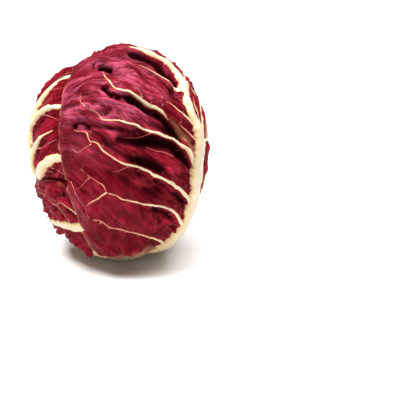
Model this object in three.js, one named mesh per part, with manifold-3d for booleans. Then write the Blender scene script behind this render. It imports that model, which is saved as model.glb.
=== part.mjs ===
// A radicchio head: a white stem, the tight heart that grows round its top, and the loose
// wine-red leaves wrapped round the heart, each with its own cream net of ribs.
// Millimetres, +Z up. The head stands on the cut end of its stem at z = 0, and -Y is its front.
// Places on the head are [azimuth, polar] in degrees, seen from the middle of its widest level:
// azimuth 0 is +X and 90 is +Y, polar 0 is the crown and 180 the stem. A polar angle under 0
// lies past the crown, on the far side.
import * as THREE from "three";
import { mergeVertices } from "three/addons/utils/BufferGeometryUtils.js";
import Module from "manifold-3d";

const wasm = await Module();
wasm.setup();

// Driving sizes of the head
const headWidth = 110;
const widestLevel = 73.5; // height of the widest level above the surface the head stands on
const crownRise = 60; // from the widest level up to the crown
const baseDrop = 77; // from the widest level down to where the egg shape would end
const floorClearance = 4.5; // the leaf bases stay this far above the surface, before their ribs
const floorSharpness = 18; // how tightly the flank turns into the flat underside

// Leaves lie on each other in layers
const bladeThickness = 0.9;
const layerGap = 1.7; // room between two layers, where a covered rib lies
const layerRise = bladeThickness + layerGap;
const liftRun = 9; // a leaf starts to rise this far before the edge of the leaf under it
const levelRun = 24; // half the width over which the count of layers is evened out
const contactGap = 0.35; // between a rib and its blade

// Ribs
const coveredRibHeight = 0.9;
const openRibHeight = 2.6; // the most that a rib rises above its covered height where it is open to view
const ribFade = 7; // a rib sinks to its covered height over this length

// Stem
const stemRadius = 13;
const stemFootRadius = 15.5;
const stemHeight = 46;
const stemClearance = 0.4;

// Colours
const leafFinish = { roughness: 0.5, metalness: 0 };
const colours = {
  outerLeaf: 0x6d1028,
  paleLeaf: 0x8a1c3a,
  heart: 0x9c2a4a,
  rib: 0xe9dcbd,
  stem: 0xeadfc0,
};

const radians = THREE.MathUtils.degToRad;
const smoothstep = THREE.MathUtils.smoothstep;

function directionTo([azimuth, polar]) {
  return new THREE.Vector3(
    Math.sin(radians(polar)) * Math.cos(radians(azimuth)),
    Math.sin(radians(polar)) * Math.sin(radians(azimuth)),
    Math.cos(radians(polar)),
  );
}

// A smooth run of directions through the given places, asked for by a share from 0 to 1
function pathThrough(places) {
  const curve = new THREE.CatmullRomCurve3(places.map(directionTo), false, "centripetal");
  return (share) => curve.getPointAt(THREE.MathUtils.clamp(share, 0, 1)).normalize();
}

function between(from, to, share) {
  const angle = from.angleTo(to);
  if (angle < 1e-6) return from.clone();
  return from
    .clone()
    .multiplyScalar(Math.sin((1 - share) * angle))
    .addScaledVector(to, Math.sin(share * angle))
    .divideScalar(Math.sin(angle));
}

// Outer form of the whole head

function eggRadius(direction) {
  const rise = direction.z > 0 ? crownRise : baseDrop;
  const across = (direction.x ** 2 + direction.y ** 2) / (headWidth / 2) ** 2;
  const egg = 1 / Math.sqrt(across + (direction.z / rise) ** 2);
  if (direction.z >= 0) return egg;
  const floor = (widestLevel - floorClearance) / -direction.z;
  return egg / (1 + (egg / floor) ** floorSharpness) ** (1 / floorSharpness);
}

// Long folds and one broad dent pressed into every layer: the path of each, its depth and half width
const folds = [
  { path: pathThrough([[182, 13], [166, 20], [150, 27]]), depth: 4.5, reach: 12 },
  { path: pathThrough([[-29, 46], [-27, 33], [-39, 22], [-54, 14]]), depth: 4.5, reach: 8 },
  { path: pathThrough([[-97, 40], [-84, 45], [-69, 48], [-55, 58], [-47, 70]]), depth: 2.2, reach: 7 },
  { path: pathThrough([[-95, 62], [-76, 67], [-57, 78], [-45, 92]]), depth: 1.8, reach: 7 },
  { path: pathThrough([[152, 140], [150, 100], [140, 60]]), depth: 3, reach: 9 },
  { path: pathThrough([[70, 130], [76, 90], [88, 50]]), depth: 2.5, reach: 9 },
].map(({ path, depth, reach }) => {
  const points = [];
  for (let i = 0; i <= 16; i++) points.push(path(i / 16));
  return { points, depth, reach };
});

function foldDepth(direction) {
  let depth = 0;
  for (const fold of folds) {
    const nearest = Math.min(...fold.points.map((point) => point.distanceTo(direction)));
    depth += fold.depth * Math.exp(-(((nearest * headWidth) / 2 / fold.reach) ** 2));
  }
  return depth;
}

// Leaves, from the innermost outwards. Each is drawn by its midrib and its two margins, from the
// base to the tip, with side ribs that leave the midrib. minus and plus are the sides of lower and
// higher azimuth.

// The margins and midrib of a leaf of the usual form, turned to its place round the stem
function wrapperOutline(azimuth, minusSpread, plusSpread, lean, tipPolar) {
  const margin = (side, spread) => [
    [azimuth + side * 26, 166],
    [azimuth + side * 42 * spread, 150],
    [azimuth + side * 62 * spread, 130],
    [azimuth + side * 78 * spread, 105],
    [azimuth + side * 85 * spread, 78],
    [azimuth + lean * 0.5 + side * 92 * spread, 52],
    [azimuth + lean + side * 118 * spread, 27],
  ];
  const midrib = [
    [azimuth, 166],
    [azimuth + lean * 0.1, 125],
    [azimuth + lean * 0.4, 85],
    [azimuth + lean * 0.8, 50],
    [azimuth + lean, 22],
    [azimuth + lean, tipPolar],
  ];
  return { midrib, minus: margin(-1, minusSpread), plus: margin(1, plusSpread) };
}

// Side ribs of a leaf of the usual form, as [share along the leaf, share out to the margin]
function usualSideRibs(side, count, reach) {
  const ribs = [];
  for (let i = 0; i < count; i++) {
    const start = 0.16 + (0.62 * i) / count + (side > 0 ? 0.04 : 0);
    const climb = 0.24 - 0.1 * (i / count);
    ribs.push({
      side,
      shares: [0, 0.25, 0.5, 0.75, 1].map((out) => [
        start + climb * out ** 1.3 + 0.012 * Math.sin(9 * out + i),
        reach * out,
      ]),
      width: 4.6 - 2.2 * (i / count),
    });
  }
  return ribs;
}

const leafPlans = [
  {
    name: "inner_left_leaf",
    ...wrapperOutline(140, 0.85, 0.9, -14, -6),
    rows: 11,
    columns: [6, 6],
    ribs: [],
    colour: colours.paleLeaf,
  },
  {
    name: "inner_right_leaf",
    ...wrapperOutline(10, 0.8, 0.8, 16, 2),
    rows: 11,
    columns: [6, 6],
    ribs: [],
    colour: colours.paleLeaf,
  },
  {
    name: "left_leaf",
    midrib: [[-150, 166], [-147, 135], [-149, 110], [-156, 92], [-158, 72], [-158, 55], [-154, 42], [-140, 32], [-112, 20]],
    minus: [[-176, 166], [-195, 148], [-215, 125], [-228, 100], [-235, 75], [-238, 50], [-232, 30], [-215, 20]],
    plus: [[-124, 166], [-110, 148], [-96, 125], [-86, 100], [-80, 75], [-76, 50], [-74, 30], [-70, 18]],
    rows: 17,
    columns: [10, 9],
    ribs: [
      { places: [[-158, 76], [-152, 66], [-145, 59], [-134, 54], [-118, 50]], width: 4 },
      { places: [[-149, 112], [-150, 97], [-149, 88], [-144, 78], [-136, 70], [-122, 62]], width: 6 },
      { places: [[-148, 122], [-143, 106], [-141, 96], [-135, 90], [-126, 86], [-112, 84]], width: 6 },
      { places: [[-158, 58], [-163, 46], [-166, 34]], width: 3 },
      ...usualSideRibs(-1, 5, 0.8),
    ],
    colour: colours.outerLeaf,
  },
  {
    name: "back_leaf",
    ...wrapperOutline(105, 0.98, 1.0, 12, -24),
    rows: 18,
    columns: [10, 10],
    ribs: [...usualSideRibs(-1, 5, 0.85), ...usualSideRibs(1, 5, 0.85)],
    colour: colours.outerLeaf,
  },
  {
    name: "low_right_leaf",
    midrib: [[48, 166], [50, 148], [56, 130], [60, 112], [58, 96]],
    minus: [[30, 166], [22, 150], [20, 132], [28, 112], [40, 98]],
    plus: [[66, 166], [82, 150], [94, 132], [92, 112], [78, 96]],
    rows: 13,
    columns: [6, 6],
    ruffle: { height: 2.4, waves: 4, inset: 0.45 },
    ribs: [...usualSideRibs(-1, 3, 0.7), ...usualSideRibs(1, 3, 0.7)],
    colour: colours.outerLeaf,
  },
  {
    name: "low_left_leaf",
    midrib: [[-110, 166], [-112, 148], [-120, 136], [-134, 131], [-152, 130], [-172, 124], [-190, 114]],
    minus: [[-124, 166], [-130, 158], [-142, 152], [-158, 148], [-174, 144], [-190, 136], [-200, 126]],
    plus: [[-98, 166], [-99, 146], [-108, 122], [-122, 106], [-144, 101], [-166, 99], [-186, 101]],
    rows: 22,
    columns: [5, 7],
    ruffle: { height: 3.2, waves: 8, inset: 0.5 },
    ribs: [
      { places: [[-124, 134], [-134, 123], [-146, 116], [-156, 112]], width: 3 },
      { places: [[-150, 130], [-160, 120], [-170, 112]], width: 2.6 },
    ],
    midribWidth: [13, 8, 5, 2.2],
    colour: colours.outerLeaf,
  },
  {
    name: "front_leaf",
    midrib: [[-27, 166], [-28, 130], [-28, 100], [-27, 78], [-27, 62], [-21, 45], [-10, 30], [-14, 12], [-12, -8], [-10, -27]],
    minus: [[-53, 166], [-85, 158], [-112, 150], [-117, 134], [-119, 115], [-124, 95], [-129, 74], [-136, 51], [-146, 32], [-168, 20]],
    plus: [[-1, 166], [11, 150], [24, 130], [33, 105], [37, 80], [42, 55], [54, 35], [84, 22]],
    rows: 24,
    columns: [16, 9],
    swell: { height: 1.8, waves: 5 },
    ribs: [
      { places: [[-27, 96], [-37, 81], [-45, 69], [-52, 61], [-65, 50], [-80, 42], [-95, 35], [-106, 28]], width: 3.6 },
      { places: [[-27, 104], [-41, 84], [-50, 77], [-69, 65], [-88, 59], [-97, 57], [-107, 53], [-118, 46]], width: 4.4 },
      { places: [[-28, 122], [-50, 98], [-72, 89], [-86, 83], [-97, 76], [-104, 72], [-110, 66], [-118, 66]], width: 4.4 },
      { places: [[-28, 138], [-50, 120], [-77, 110], [-91, 103], [-103, 93], [-112, 86]], width: 4 },
      { places: [[-91, 103], [-99, 106], [-108, 112]], width: 1.8 },
      { places: [[-31, 152], [-55, 138], [-87, 127], [-99, 122], [-109, 123]], width: 3.2 },
      { places: [[-26, 55], [-33, 46], [-45, 34], [-61, 24]], width: 2.6 },
      { places: [[-27, 74], [-35, 62], [-44, 54], [-52, 48]], width: 2.8 },
      { places: [[-27, 88], [-33, 77], [-40, 68]], width: 2.8 },
      { places: [[-27, 82], [-17, 67], [-9, 61], [3, 57], [20, 52]], width: 4 },
      { places: [[-27, 66], [-16, 53], [-2, 45], [16, 35]], width: 2.8 },
      ...usualSideRibs(1, 3, 0.8),
    ],
    midribWidth: [22, 14, 8, 2],
    colour: colours.outerLeaf,
  },
];

// The leaf as a sheet over the sphere of directions: share 0 to 1 from base to tip, and side -1 to
// 1 from the minus margin over the midrib to the plus margin
for (const plan of leafPlans) {
  const midrib = pathThrough(plan.midrib);
  const minus = pathThrough(plan.minus);
  const plus = pathThrough(plan.plus);
  plan.place = (share, side) =>
    between(midrib(share), side < 0 ? minus(share) : plus(share), Math.abs(side));
  plan.outline = outlineOf(plan);
}

// The rim of a leaf, as directions and as points on a flat map centred on the crown
function outlineOf(plan) {
  const steps = 20;
  const rim = [];
  for (let i = 0; i <= steps; i++) rim.push(plan.place(i / steps, -1));
  for (let i = 1; i <= steps; i++) rim.push(plan.place(1, -1 + (2 * i) / steps));
  for (let i = steps - 1; i >= 0; i--) rim.push(plan.place(i / steps, 1));
  for (let i = 3; i > 0; i--) rim.push(plan.place(0, -1 + (2 * i) / 4));
  return { rim, map: rim.map(flatMap) };
}

function flatMap(direction) {
  const polar = Math.acos(THREE.MathUtils.clamp(direction.z, -1, 1));
  const azimuth = Math.atan2(direction.y, direction.x);
  return [polar * Math.cos(azimuth), polar * Math.sin(azimuth)];
}

// How far inside the leaf's rim a direction lies, in millimetres on the head; negative outside
function depthInside(plan, direction) {
  const { rim, map } = plan.outline;
  const [x, y] = flatMap(direction);
  const line = new THREE.Line3();
  const nearest = new THREE.Vector3();
  let distance = Infinity;
  let inside = false;
  for (let i = 0, j = rim.length - 1; i < rim.length; j = i++) {
    line.set(rim[j], rim[i]).closestPointToPoint(direction, true, nearest);
    distance = Math.min(distance, nearest.distanceTo(direction));
    const [xi, yi] = map[i];
    const [xj, yj] = map[j];
    if (yi > y !== yj > y && x < ((xj - xi) * (y - yi)) / (yj - yi) + xi) inside = !inside;
  }
  return (inside ? 1 : -1) * distance * (headWidth / 2);
}

// Radius of the heart's skin, so that all the layers over it together fill out the egg
function innerRadius(direction) {
  let radius = eggRadius(direction) - foldDepth(direction);
  for (const plan of leafPlans) {
    radius -= layerRise * smoothstep(depthInside(plan, direction), -levelRun, levelRun);
  }
  return radius;
}

// Radius of the inner face of a leaf, over all the leaves that it lies on
function seatRadius(index, direction) {
  let radius = innerRadius(direction);
  for (const under of leafPlans.slice(0, index)) {
    radius += layerRise * smoothstep(depthInside(under, direction), -liftRun, 0);
  }
  return radius;
}

// 1 where a leaf further out lies over this one, 0 where it is open to view
function cover(index, direction, run) {
  let most = 0;
  for (const over of leafPlans.slice(index + 1)) {
    most = Math.max(most, smoothstep(depthInside(over, direction), -run, 0));
  }
  return most;
}

// Crinkled rims and swollen fields between the ribs, always outwards
function relief(plan, share, side) {
  let height = 0;
  if (plan.ruffle) {
    const towardsRim = smoothstep(Math.abs(side), plan.ruffle.inset, 1);
    const ends = smoothstep(share, 0.08, 0.25);
    const wave = Math.sin(plan.ruffle.waves * 2 * Math.PI * share + 2 * side);
    height += plan.ruffle.height * towardsRim * ends * (0.5 + 0.5 * wave);
  }
  if (plan.swell && side < 0) {
    const field = Math.sin(plan.swell.waves * Math.PI * (share - 0.22 * -side));
    height += plan.swell.height * Math.sin(Math.PI * -side) * field ** 2;
  }
  return height;
}

const centre = new THREE.Vector3(0, 0, widestLevel);

function atRadius(direction, radius) {
  return direction.clone().multiplyScalar(radius).add(centre);
}

function geometryFrom(vertices, triangles) {
  const geometry = new THREE.BufferGeometry();
  geometry.setAttribute("position", new THREE.Float32BufferAttribute(vertices.flatMap((v) => v.toArray()), 3));
  geometry.setIndex(triangles.flat());
  return geometry;
}

// The thin solid of a leaf: an outer and an inner sheet of the same triangles, closed round the
// rim. ownRoom is the same solid a little thicker, which no rib may enter.
function bladeGeometry(plan, index) {
  const [minusColumns, plusColumns] = plan.columns;
  const sides = [];
  for (let i = -minusColumns; i <= plusColumns; i++) {
    sides.push(i < 0 ? i / minusColumns : i / plusColumns);
  }
  const outer = [];
  const inner = [];
  for (let row = 0; row <= plan.rows; row++) {
    const share = row / plan.rows;
    for (const side of sides) {
      const direction = plan.place(share, side);
      const raised = relief(plan, share, side) * (1 - cover(index, direction, ribFade));
      const seat = seatRadius(index, direction) + raised;
      inner.push(atRadius(direction, seat));
      outer.push(atRadius(direction, seat + bladeThickness));
    }
  }
  const across = sides.length;
  const sheet = [];
  for (let row = 0; row < plan.rows; row++) {
    for (let column = 0; column < across - 1; column++) {
      const a = row * across + column;
      const [b, c, d] = [a + 1, a + across + 1, a + across];
      sheet.push([a, b, c], [a, c, d]);
    }
  }
  const rim = [];
  for (let column = 0; column < across - 1; column++) rim.push([column, column + 1]);
  for (let row = 0; row < plan.rows; row++) rim.push([(row + 1) * across - 1, (row + 2) * across - 1]);
  for (let column = across - 1; column > 0; column--) {
    rim.push([plan.rows * across + column, plan.rows * across + column - 1]);
  }
  for (let row = plan.rows; row > 0; row--) rim.push([row * across, (row - 1) * across]);
  plan.outerSheet = { points: outer, triangles: sheet };
  const room = contactGap / 4;
  plan.ownRoom = manifoldFrom(closedSheets(pushedOut(outer, room), pushedOut(inner, -room), sheet, rim));
  return closedSheets(outer, inner, sheet, rim);
}

function pushedOut(points, distance) {
  return points.map((point) => {
    const arm = point.clone().sub(centre);
    return arm.setLength(arm.length() + distance).add(centre);
  });
}

function closedSheets(outer, inner, sheet, rim) {
  const under = outer.length;
  const triangles = [];
  for (const [a, b, c] of sheet) triangles.push([a, b, c], [under + a, under + c, under + b]);
  for (const [a, b] of rim) triangles.push([b, a, under + a], [b, under + a, under + b]);
  return geometryFrom([...outer, ...inner], triangles);
}

// Radius of a blade's outer face, read off its own flat triangles, or null beside the blade
function bladeTop(plan, direction) {
  const { points, triangles } = plan.outerSheet;
  const ray = new THREE.Ray(centre, direction);
  const hit = new THREE.Vector3();
  let best = null;
  for (const [a, b, c] of triangles) {
    if (ray.intersectTriangle(points[a], points[b], points[c], false, hit)) {
      best = Math.max(best ?? 0, hit.distanceTo(centre));
    }
  }
  return best;
}

// One rib: a strip that lies on its blade, raised in the middle, and tapers to the tip. A wide rib
// has several strips of facets side by side, to follow the round of the blade.
function ribSolid(plan, index, path, steps, lanes, widthAt) {
  const rows = [];
  for (let i = 0; i <= steps; i++) {
    const share = i / steps;
    const middle = path(share);
    const ahead = path(Math.min(1, share + 0.02)).sub(path(Math.max(0, share - 0.02)));
    const across = new THREE.Vector3().crossVectors(ahead, middle).normalize();
    const width = widthAt(share);
    const open = 1 - cover(index, middle, ribFade);
    const height = coveredRibHeight + open * THREE.MathUtils.clamp(0.3 * width - 0.3, 0, openRibHeight);
    const row = [];
    for (let lane = 0; lane <= lanes; lane++) {
      const sideways = 2 * (lane / lanes) - 1;
      const direction = middle.clone().addScaledVector(across, (sideways * width) / headWidth).normalize();
      const inset = lanes > 1 ? 1 : 0.5;
      const shoulder = middle.clone().addScaledVector(across, (inset * sideways * width) / headWidth).normalize();
      const profile = lanes > 1 ? Math.sqrt(1 - 0.8 * sideways ** 2) : 1;
      row.push({ direction, shoulder, height: height * profile, radius: bladeTop(plan, direction) });
    }
    if (row.every((spot) => spot.radius !== null)) rows.push(row);
  }
  if (rows.length < 3) return null;
  for (const row of rows) for (const spot of row) spot.radius += contactGap;
  for (let round = 0; round < 3; round++) liftClear(plan, rows);
  const vertices = [];
  for (const row of rows) {
    for (const spot of row) vertices.push(atRadius(spot.direction, spot.radius));
    for (const spot of row.toReversed()) {
      const seat = Math.max(spot.radius, (bladeTop(plan, spot.shoulder) ?? 0) + contactGap);
      vertices.push(atRadius(spot.shoulder, seat + spot.height));
    }
  }
  const ring = 2 * (lanes + 1);
  const last = (rows.length - 1) * ring;
  const triangles = [];
  for (let lane = 0; lane < lanes; lane++) {
    const [a, b, c, d] = [lane, lane + 1, ring - 2 - lane, ring - 1 - lane];
    triangles.push([a, b, c], [a, c, d], [last + a, last + c, last + b], [last + a, last + d, last + c]);
  }
  for (let i = 0; i < rows.length - 1; i++) {
    for (let k = 0; k < ring; k++) {
      const a = i * ring + k;
      const b = i * ring + ((k + 1) % ring);
      triangles.push([a, a + ring, b + ring], [a, b + ring, b]);
    }
  }
  return manifoldFrom(geometryFrom(vertices, triangles));
}

// Raises the underside of a rib wherever one of its edges would cut through a bend of the blade
function liftClear(plan, rows) {
  const clear = (one, other) => {
    const from = atRadius(one.direction, one.radius);
    const to = atRadius(other.direction, other.radius);
    for (const share of [0.25, 0.5, 0.75]) {
      const spot = from.clone().lerp(to, share).sub(centre);
      const radius = spot.length();
      const lack = (bladeTop(plan, spot.normalize()) ?? 0) + contactGap / 2 - radius;
      if (lack <= 0) continue;
      one.radius += lack;
      other.radius += lack;
      return;
    }
  };
  rows.forEach((row, i) => {
    row.forEach((spot, lane) => {
      if (lane) clear(row[lane - 1], spot);
      if (i) clear(rows[i - 1][lane], spot);
      if (i && lane) clear(rows[i - 1][lane - 1], spot);
      if (i && lane) clear(rows[i - 1][lane], row[lane - 1]);
    });
  });
}

function manifoldFrom(geometry) {
  geometry.deleteAttribute("normal");
  geometry.deleteAttribute("uv");
  const merged = mergeVertices(geometry, 1e-4);
  const corners = merged.index.array;
  const kept = [];
  for (let i = 0; i < corners.length; i += 3) {
    const [a, b, c] = corners.slice(i, i + 3);
    if (a !== b && b !== c && c !== a) kept.push(a, b, c);
  }
  return new wasm.Manifold(
    new wasm.Mesh({
      numProp: 3,
      vertProperties: merged.attributes.position.array,
      triVerts: new Uint32Array(kept),
    }),
  );
}

function geometryOf(solid) {
  const mesh = solid.getMesh();
  const geometry = new THREE.BufferGeometry();
  geometry.setAttribute("position", new THREE.BufferAttribute(mesh.vertProperties, 3));
  geometry.setIndex(new THREE.BufferAttribute(mesh.triVerts, 1));
  return geometry;
}

// Width of the midrib from base to tip, through evenly spaced values
function taperThrough(widths) {
  return (share) => {
    const place = share * (widths.length - 1);
    const i = Math.min(Math.floor(place), widths.length - 2);
    return THREE.MathUtils.lerp(widths[i], widths[i + 1], place - i);
  };
}

// The cream net of a leaf: its midrib and side ribs in one solid
function ribGeometry(plan, index) {
  const midribEnd = 0.9;
  const midribPath = pathThrough(plan.midrib);
  const widths = taperThrough(plan.midribWidth ?? [21, 12, 6.5, 1.8]);
  let net = ribSolid(plan, index, (share) => midribPath(0.01 + midribEnd * share), 14, 4, widths);
  for (const rib of plan.ribs) {
    const path = rib.places
      ? pathThrough(rib.places)
      : (share) => {
          const place = share * (rib.shares.length - 1);
          const i = Math.min(Math.floor(place), rib.shares.length - 2);
          const along = THREE.MathUtils.lerp(rib.shares[i][0], rib.shares[i + 1][0], place - i);
          const out = THREE.MathUtils.lerp(rib.shares[i][1], rib.shares[i + 1][1], place - i);
          return plan.place(along, rib.side * out);
        };
    const strip = ribSolid(plan, index, path, 7, 1, (share) => rib.width * (1 - 0.72 * share));
    if (strip) net = net.add(strip);
  }
  for (const near of leafPlans.slice(index)) net = net.subtract(near.ownRoom);
  const whole = net.decompose().sort((a, b) => b.volume() - a.volume())[0];
  return geometryOf(whole.simplify(0.07));
}

// The stem: a turned core with a trimmed foot, which the head stands on

function stemGeometry() {
  const profile = [
    [0, 0],
    [stemFootRadius - 1.2, 0],
    [stemFootRadius, 1.2],
    [stemFootRadius, 7],
    [stemRadius, 14],
    [stemRadius * 0.92, stemHeight * 0.7],
    [stemRadius * 0.6, stemHeight * 0.93],
    [0, stemHeight],
  ];
  return new THREE.LatheGeometry(profile.map(([r, z]) => new THREE.Vector2(r, z)), 22).rotateX(Math.PI / 2);
}

// The heart: a dense ball of tight leaves whose rims stand out of it as spiral steps, hollowed
// round the stem
function heartGeometry() {
  const rings = 14;
  const around = 24;
  const vertices = [];
  const triangles = [];
  for (let ring = 0; ring <= rings; ring++) {
    const polar = 4 + (164 * ring) / rings;
    for (let k = 0; k < around; k++) {
      const azimuth = (360 * k) / around;
      const direction = directionTo([azimuth, polar]);
      const turn = (azimuth / 120 + polar / 150) % 1;
      vertices.push(atRadius(direction, innerRadius(direction) - 1.3 - 1.4 * turn));
    }
  }
  const top = vertices.length;
  vertices.push(vertices.slice(0, around).reduce((sum, v) => sum.add(v), new THREE.Vector3()).divideScalar(around));
  vertices.push(new THREE.Vector3(0, 0, vertices[rings * around].z + 2));
  for (let k = 0; k < around; k++) {
    const next = (k + 1) % around;
    triangles.push([top, k, next]);
    for (let ring = 0; ring < rings; ring++) {
      const a = ring * around + k;
      const b = ring * around + next;
      triangles.push([a, a + around, b + around], [a, b + around, b]);
    }
    triangles.push([top + 1, rings * around + next, rings * around + k]);
  }
  const ball = manifoldFrom(geometryFrom(vertices, triangles));
  const grown = stemGeometry().scale(
    (stemRadius + stemClearance) / stemRadius,
    (stemRadius + stemClearance) / stemRadius,
    (stemHeight + stemClearance) / stemHeight,
  );
  let heart = ball.subtract(manifoldFrom(grown));
  for (const plan of leafPlans.slice(0, 3)) heart = heart.subtract(plan.ownRoom);
  return geometryOf(heart.simplify(0.04));
}

const head = new THREE.Group();

function addPiece(name, geometry, colour) {
  const piece = new THREE.Mesh(geometry, new THREE.MeshStandardMaterial({ color: colour, ...leafFinish }));
  piece.name = name;
  head.add(piece);
}

addPiece("stem", stemGeometry(), colours.stem);
leafPlans.forEach((plan, index) => addPiece(plan.name, bladeGeometry(plan, index), plan.colour));
addPiece("heart", heartGeometry(), colours.heart);
leafPlans.forEach((plan, index) => {
  if (plan.ribs.length) addPiece(`${plan.name}_ribs`, ribGeometry(plan, index), colours.rib);
});

export default head;
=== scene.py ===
import math

import bpy
import numpy as np
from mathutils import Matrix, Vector
from mathutils.bvhtree import BVHTree


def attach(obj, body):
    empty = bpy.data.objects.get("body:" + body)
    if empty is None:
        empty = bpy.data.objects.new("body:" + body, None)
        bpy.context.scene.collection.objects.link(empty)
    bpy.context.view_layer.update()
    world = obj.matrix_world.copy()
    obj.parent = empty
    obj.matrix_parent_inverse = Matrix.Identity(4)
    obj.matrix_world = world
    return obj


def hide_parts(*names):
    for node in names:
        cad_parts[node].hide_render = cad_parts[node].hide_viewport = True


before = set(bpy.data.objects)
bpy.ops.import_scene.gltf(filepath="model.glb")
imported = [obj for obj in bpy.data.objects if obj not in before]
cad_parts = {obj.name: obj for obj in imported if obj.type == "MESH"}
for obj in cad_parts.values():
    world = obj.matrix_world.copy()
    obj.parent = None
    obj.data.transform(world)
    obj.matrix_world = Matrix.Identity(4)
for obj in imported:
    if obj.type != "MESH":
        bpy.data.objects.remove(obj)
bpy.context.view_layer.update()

# Lengths in the dictionaries are millimetres. Places on the head are [azimuth, polar] in degrees from
# the middle of its widest level: azimuth -90 is the front, polar 0 the crown and 180 the stem.
millimetre = 0.001

head = {
    "width": 110,
    "widestLevel": 73.5,
    "crownRise": 60,
    "baseDrop": 77,
    "floorClearance": 4.5,
    "floorSharpness": 18,
    "bladeThickness": 0.8,
    "layerRise": 2.6,  # from one layer of leaves to the next
    "liftRun": 9,  # a leaf rises this far before the rim of the one under it
    "levelRun": 24,
    "coverFade": 7,  # relief dies out this far before a covering leaf
}
headRadius = head["width"] / 2
centre = np.array([0, 0, head["widestLevel"]])
detail = 1.0


# Noise and curves

def latticeHash(cell, seed):
    mixed = cell[..., 0] * 374761393 + cell[..., 1] * 668265263 + cell[..., 2] * 362437 + seed * 974711
    mixed = (mixed ^ (mixed >> 13)) * 1274126177 & 0xFFFFFFFF
    return (mixed ^ (mixed >> 16)) / 0xFFFFFFFF * 2 - 1


def softNoise(spots, seed=0):
    # gradient noise, from about -1 to 1, one cell to a unit
    cell = np.floor(spots).astype(np.int64)
    part = spots - cell
    blend = part**3 * (part * (part * 6 - 15) + 10)
    total = np.zeros(spots.shape[:-1])
    for corner in np.ndindex(2, 2, 2):
        weight = np.prod(np.where(corner, blend, 1 - blend), axis=-1)
        slopes = np.stack([latticeHash(cell + corner, seed + k) for k in (1, 2, 3)], axis=-1)
        total += weight * np.sum(slopes * (part - corner), axis=-1)
    return total * 1.7


def smoothStep(value, low, high):
    share = np.clip((value - low) / (high - low), 0, 1)
    return share * share * (3 - 2 * share)


def directionTo(places):
    azimuth, polar = np.radians(np.asarray(places, float)).T
    return np.stack([np.sin(polar) * np.cos(azimuth), np.sin(polar) * np.sin(azimuth), np.cos(polar)], axis=-1)


def unit(vectors):
    return vectors / np.linalg.norm(vectors, axis=-1, keepdims=True)


class Line:
    # a run of directions, asked for by a share of its length
    def __init__(self, points):
        self.points = points
        self.reach = np.concatenate([[0], np.cumsum(np.linalg.norm(np.diff(points, axis=0), axis=1))])
        self.length = self.reach[-1] * headRadius  # millimetres

    def at(self, shares):
        where = np.clip(shares, 0, 1) * self.reach[-1]
        return unit(np.stack([np.interp(where, self.reach, self.points[:, k]) for k in range(3)], axis=-1))


def lineThrough(places):
    # a smooth line through places on the head
    points = directionTo(places)
    points = np.vstack([2 * points[0] - points[1], points, 2 * points[-1] - points[-2]])
    gaps = np.sqrt(np.linalg.norm(np.diff(points, axis=0), axis=1))
    t = np.linspace(0, 1, 40, endpoint=False)[:, None]
    run = []
    for i in range(len(points) - 3):
        p0, p1, p2, p3 = points[i : i + 4]
        g0, g1, g2 = gaps[i : i + 3]
        leave = ((p1 - p0) / g0 - (p2 - p0) / (g0 + g1) + (p2 - p1) / g1) * g1
        arrive = ((p2 - p1) / g1 - (p3 - p1) / (g1 + g2) + (p3 - p2) / g2) * g1
        square, cube = 3 * (p2 - p1) - 2 * leave - arrive, 2 * (p1 - p2) + leave + arrive
        run.append(p1 + leave * t + square * t**2 + cube * t**3)
    return Line(np.vstack(run + [points[-2][None]]))


def between(start, end, share):
    angle = np.arccos(np.clip(np.sum(start * end, axis=-1, keepdims=True), -1, 1)) + 1e-9
    share = share[..., None]
    return unit(start * np.sin((1 - share) * angle) + end * np.sin(share * angle))


def nearest(spots, points):
    # millimetres from each spot to the nearest of the points, and which point that is
    score = spots @ points.T - (points**2).sum(axis=1) / 2
    which = score.argmax(axis=1)
    return np.linalg.norm(spots - points[which], axis=1) * headRadius, which


# Outer form of the head

def formAlong(size, reach, *path, edge=2):
    # so many millimetres deep or high, with this half width; an edge under 2 makes it sharp
    gloom = size * min(1, 3 / reach)  # strength of the painted shade inside the fold; wide folds get less of it
    points = lineThrough(path).at(np.linspace(0, 1, 60))
    return {"points": points, "size": size, "gloom": gloom, "reach": reach, "edge": edge}


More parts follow.
